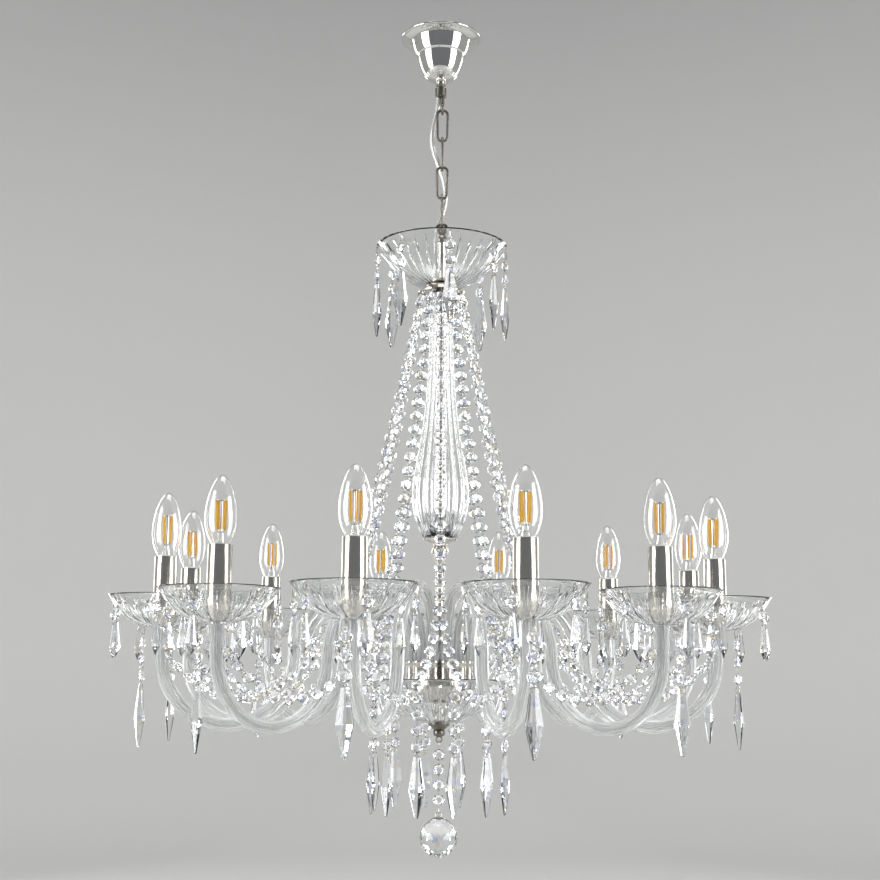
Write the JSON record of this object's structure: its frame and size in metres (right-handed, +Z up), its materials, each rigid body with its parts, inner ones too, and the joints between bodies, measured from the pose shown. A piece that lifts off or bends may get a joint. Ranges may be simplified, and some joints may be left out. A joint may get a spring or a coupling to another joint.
{
  "type": "crystal chandelier",
  "caption": "Tiered crystal chandelier with S-shaped glass arms, candle lamps, drip cups and bead swags, hung by a chain from a ceiling canopy.",
  "frame": {"origin": "in the ceiling plane, on the vertical line through the eye bolt, the chain and the column", "axes": "+Z up, away from the room; -Y towards the front of the room; +X to the right seen from the front"},
  "size_m": [0.7596, 0.7596, 1.0174],
  "materials": {
    "plain_steel": "zinc-plated sheet",
    "dark_nickel": "dark nickel, polished",
    "insulator": "matt moulded",
    "polished_chrome": "mirror polish",
    "satin_nickel": "bright nickel",
    "clear_cable": "clear sleeve over braided silver strands",
    "moulded_glass": "clear pressed glass, ribbed",
    "candle_nickel": "polished tube",
    "lamp_glass": "clear faceted lamp glass",
    "cut_crystal": "cut and polished crystal"
  },
  "bodies": {
    "ceiling": {"ceiling_bar": "plain_steel", "eye_bolt": "dark_nickel", "terminal_block": "insulator", "power_cord": "clear_cable"},
    "canopy": {"canopy_rosette": "polished_chrome", "canopy_bell": "polished_chrome", "canopy_bush": "satin_nickel", "cord_gland": "dark_nickel"},
    "link_1": {"chain_link_1": "dark_nickel"},
    "link_2": {"chain_link_2": "dark_nickel"},
    "link_3": {"chain_link_3": "dark_nickel"},
    "link_4": {"chain_link_4": "dark_nickel"},
    "ball_strand": {"ball_strand": "cut_crystal"},
    "crystal_ball": {"crystal_ball": "cut_crystal"},
    "chandelier": {"arm_01": "moulded_glass", "arm_02": "moulded_glass", "arm_03": "moulded_glass", "arm_04": "moulded_glass", "arm_05": "moulded_glass", "arm_06": "moulded_glass", "arm_07": "moulded_glass", "arm_08": "moulded_glass", "arm_09": "moulded_glass", "arm_10": "moulded_glass", "arm_11": "moulded_glass", "arm_12": "moulded_glass", "baluster": "moulded_glass", "bead_strands": "cut_crystal", "bead_swags": "cut_crystal", "bowl_icicles": "cut_crystal", "candle_lamps": "lamp_glass", "candle_sleeves": "candle_nickel", "central_rod": "satin_nickel", "column_fittings": "satin_nickel", "cup_01": "moulded_glass", "cup_02": "moulded_glass", "cup_03": "moulded_glass", "cup_04": "moulded_glass", "cup_05": "moulded_glass", "cup_06": "moulded_glass", "cup_07": "moulded_glass", "cup_08": "moulded_glass", "cup_09": "moulded_glass", "cup_10": "moulded_glass", "cup_11": "moulded_glass", "cup_12": "moulded_glass", "cup_icicles": "cut_crystal", "cup_pears": "cut_crystal", "finial": "dark_nickel", "glass_knob": "moulded_glass", "glass_spacer": "moulded_glass", "hub_cover": "satin_nickel", "hub_plate": "satin_nickel", "lower_bowl": "moulded_glass", "strand_crown": "satin_nickel", "top_bowl": "moulded_glass", "top_loop": "dark_nickel"}
  },
  "joints": [
    {"name": "canopy_drop", "type": "slide", "parent": "ceiling", "child": "canopy", "axis": [0, 0, 1], "range_m": [-0.0065, 0], "deforming": ["power_cord"]},
    {"name": "eye_swing", "type": "hinge", "parent": "ceiling", "child": "link_1", "pos_m": [0, 0, -0.1014], "axis": [0, 1, 0], "range_deg": [-12, 12]},
    {"name": "link_swing_2", "type": "hinge", "parent": "link_1", "child": "link_2", "pos_m": [0, 0, -0.1393], "axis": [1, 0, 0], "range_deg": [-12, 12]},
    {"name": "link_swing_3", "type": "hinge", "parent": "link_2", "child": "link_3", "pos_m": [0, 0, -0.1773], "axis": [0, 1, 0], "range_deg": [-12, 12]},
    {"name": "link_swing_4", "type": "hinge", "parent": "link_3", "child": "link_4", "pos_m": [0, 0, -0.2153], "axis": [1, 0, 0], "range_deg": [-12, 12]},
    {"name": "loop_swing", "type": "hinge", "parent": "link_4", "child": "chandelier", "pos_m": [0, 0, -0.2533], "axis": [0, 1, 0], "range_deg": [-12, 12]},
    {"name": "ball_strand_swing", "type": "hinge", "parent": "chandelier", "child": "ball_strand", "pos_m": [0, 0, -0.8859], "axis": [1, 0, 0], "range_deg": [-30, 30]},
    {"name": "ball_swing", "type": "hinge", "parent": "ball_strand", "child": "crystal_ball", "pos_m": [0, 0, -0.968], "axis": [0, 1, 0], "range_deg": [-30, 30]}
  ]
}
